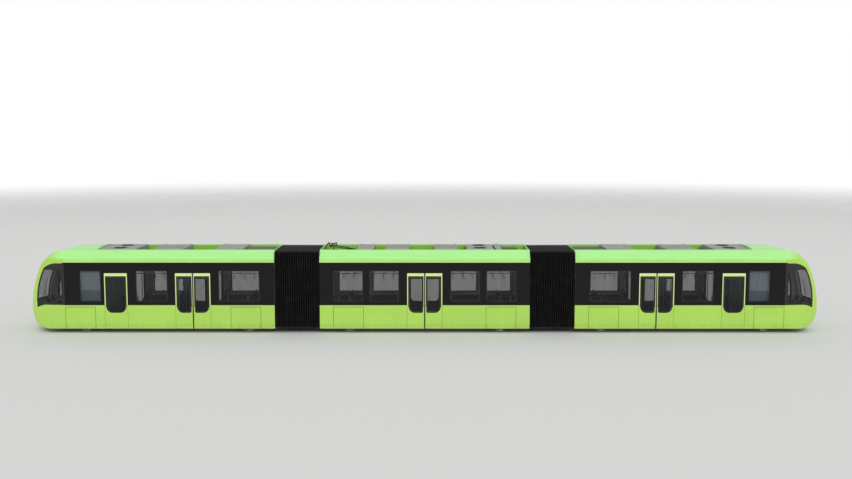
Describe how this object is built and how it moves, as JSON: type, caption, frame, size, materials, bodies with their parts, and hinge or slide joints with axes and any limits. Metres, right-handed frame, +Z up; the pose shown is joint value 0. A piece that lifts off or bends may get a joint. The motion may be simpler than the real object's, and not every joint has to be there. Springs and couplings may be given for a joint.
{
  "type": "articulated tram",
  "caption": "Three-section low-floor articulated tram with folded gangway bellows, full-height doors, covered wheels, single-axle running gears and a folding roof pantograph.",
  "frame": {"origin": "under the middle of the tram, on the surface that the wheel flanges stand on", "axes": "+X along the tram towards the fore end, +Y across it, +Z up"},
  "size_m": [31.64, 2.65, 3.4518],
  "materials": {
    "lime_paint": "gloss lime green coach paint",
    "roof_lime": "gloss light lime coach paint",
    "door_lime": "gloss pale lime coach paint",
    "dark_band": "gloss near-black coach paint",
    "tinted_glass": "tinted safety glass",
    "lamp_glass": "clear lamp glass",
    "frame_paint": "satin dark grey chassis paint",
    "roof_grey": "matt grey cover paint",
    "seat_plastic": "moulded dark blue seat shells",
    "rail_steel": "brushed tube",
    "cab_plastic": "grey moulded lining",
    "pantograph_paint": "satin grey paint on steel tube",
    "strip_carbon": "dark carbon strips on a steel head",
    "bellows_rubber": "black coated folded bellows",
    "wheel_steel": "rolled steel, bright tread"
  },
  "bodies": {
    "mid": {"mid_underframe": "frame_paint", "mid_inner_walls": "cab_plastic", "mid_lower_walls": "lime_paint", "mid_window_band": "dark_band", "mid_doors": "door_lime", "mid_glass": "tinted_glass", "mid_wheel_covers": "lime_paint", "mid_roof": "roof_lime", "mid_roof_units": "roof_grey", "mid_seats": "seat_plastic", "mid_handrails": "rail_steel", "pantograph_base": "frame_paint", "gangway_drawbars": "frame_paint", "fore_bellows": "bellows_rubber", "aft_bellows": "bellows_rubber"},
    "aft": {"aft_underframe": "frame_paint", "aft_inner_walls": "cab_plastic", "aft_lower_walls": "lime_paint", "aft_window_band": "dark_band", "aft_doors": "door_lime", "aft_nose": "lime_paint", "aft_lamps": "lamp_glass", "aft_glass": "tinted_glass", "aft_wheel_covers": "lime_paint", "aft_roof": "roof_lime", "aft_roof_units": "roof_grey", "aft_seats": "seat_plastic", "aft_handrails": "rail_steel", "aft_cab": "cab_plastic"},
    "fore": {"fore_underframe": "frame_paint", "fore_inner_walls": "cab_plastic", "fore_lower_walls": "lime_paint", "fore_window_band": "dark_band", "fore_doors": "door_lime", "fore_nose": "lime_paint", "fore_lamps": "lamp_glass", "fore_glass": "tinted_glass", "fore_wheel_covers": "lime_paint", "fore_roof": "roof_lime", "fore_roof_units": "roof_grey", "fore_seats": "seat_plastic", "fore_handrails": "rail_steel", "fore_cab": "cab_plastic"},
    "aft_outer_gear": {"aft_outer_gear_frame": "frame_paint"},
    "aft_outer_wheels": {"aft_outer_wheelset": "wheel_steel"},
    "aft_inner_gear": {"aft_inner_gear_frame": "frame_paint"},
    "aft_inner_wheels": {"aft_inner_wheelset": "wheel_steel"},
    "mid_aft_gear": {"mid_aft_gear_frame": "frame_paint"},
    "mid_aft_wheels": {"mid_aft_wheelset": "wheel_steel"},
    "mid_fore_gear": {"mid_fore_gear_frame": "frame_paint"},
    "mid_fore_wheels": {"mid_fore_wheelset": "wheel_steel"},
    "fore_inner_gear": {"fore_inner_gear_frame": "frame_paint"},
    "fore_inner_wheels": {"fore_inner_wheelset": "wheel_steel"},
    "fore_outer_gear": {"fore_outer_gear_frame": "frame_paint"},
    "fore_outer_wheels": {"fore_outer_wheelset": "wheel_steel"},
    "pantograph_lower": {"pantograph_lower_arm": "pantograph_paint"},
    "pantograph_upper": {"pantograph_upper_arm": "pantograph_paint"},
    "pantograph_head": {"pantograph_head": "strip_carbon"}
  },
  "joints": [
    {"name": "fore_gangway", "type": "hinge", "parent": "mid", "child": "fore", "pos_m": [5.0475, 0, 0.44], "axis": [0, 0, 1], "range_deg": [-25, 25], "deforming": ["fore_bellows"]},
    {"name": "aft_gangway", "type": "hinge", "parent": "mid", "child": "aft", "pos_m": [-5.0475, 0, 0.44], "axis": [0, 0, -1], "range_deg": [-25, 25], "deforming": ["aft_bellows"]},
    {"name": "aft_outer_yaw", "type": "hinge", "parent": "aft", "child": "aft_outer_gear", "pos_m": [-13.63, 0, 0.392], "axis": [0, 0, -1], "range_deg": [-8, 8]},
    {"name": "aft_outer_spin", "type": "hinge", "parent": "aft_outer_gear", "child": "aft_outer_wheels", "pos_m": [-13.63, 0, 0.325], "axis": [0, 1, 0], "continuous": true},
    {"name": "aft_inner_yaw", "type": "hinge", "parent": "aft", "child": "aft_inner_gear", "pos_m": [-7.085, 0, 0.392], "axis": [0, 0, 1], "range_deg": [-8, 8]},
    {"name": "aft_inner_spin", "type": "hinge", "parent": "aft_inner_gear", "child": "aft_inner_wheels", "pos_m": [-7.085, 0, 0.325], "axis": [0, 1, 0], "continuous": true},
    {"name": "mid_aft_yaw", "type": "hinge", "parent": "mid", "child": "mid_aft_gear", "pos_m": [-3.02, 0, 0.392], "axis": [0, 0, -1], "range_deg": [-8, 8]},
    {"name": "mid_aft_spin", "type": "hinge", "parent": "mid_aft_gear", "child": "mid_aft_wheels", "pos_m": [-3.02, 0, 0.325], "axis": [0, 1, 0], "continuous": true},
    {"name": "mid_fore_yaw", "type": "hinge", "parent": "mid", "child": "mid_fore_gear", "pos_m": [3.02, 0, 0.392], "axis": [0, 0, 1], "range_deg": [-8, 8]},
    {"name": "mid_fore_spin", "type": "hinge", "parent": "mid_fore_gear", "child": "mid_fore_wheels", "pos_m": [3.02, 0, 0.325], "axis": [0, 1, 0], "continuous": true},
    {"name": "fore_inner_yaw", "type": "hinge", "parent": "fore", "child": "fore_inner_gear", "pos_m": [7.085, 0, 0.392], "axis": [0, 0, -1], "range_deg": [-8, 8]},
    {"name": "fore_inner_spin", "type": "hinge", "parent": "fore_inner_gear", "child": "fore_inner_wheels", "pos_m": [7.085, 0, 0.325], "axis": [0, 1, 0], "continuous": true},
    {"name": "fore_outer_yaw", "type": "hinge", "parent": "fore", "child": "fore_outer_gear", "pos_m": [13.63, 0, 0.392], "axis": [0, 0, 1], "range_deg": [-8, 8]},
    {"name": "fore_outer_spin", "type": "hinge", "parent": "fore_outer_gear", "child": "fore_outer_wheels", "pos_m": [13.63, 0, 0.325], "axis": [0, 1, 0], "continuous": true},
    {"name": "pantograph_raise", "type": "hinge", "parent": "mid", "child": "pantograph_lower", "pos_m": [-3.8, 0, 3.1], "axis": [0, -1, 0], "range_deg": [0, 50]},
    {"name": "pantograph_knee", "type": "hinge", "parent": "pantograph_lower", "child": "pantograph_upper", "pos_m": [-2.78388, 0, 3.1889], "axis": [0, -1, 0], "range_deg": [-100, 0]},
    {"name": "pantograph_level", "type": "hinge", "parent": "pantograph_upper", "child": "pantograph_head", "pos_m": [-3.78838, 0, 3.36602], "axis": [0, -1, 0], "range_deg": [0, 50]}
  ],
  "couplings": [
    {"joint": "pantograph_knee", "follows": "pantograph_raise", "ratio": -2},
    {"joint": "pantograph_level", "follows": "pantograph_raise", "ratio": 1}
  ]
}
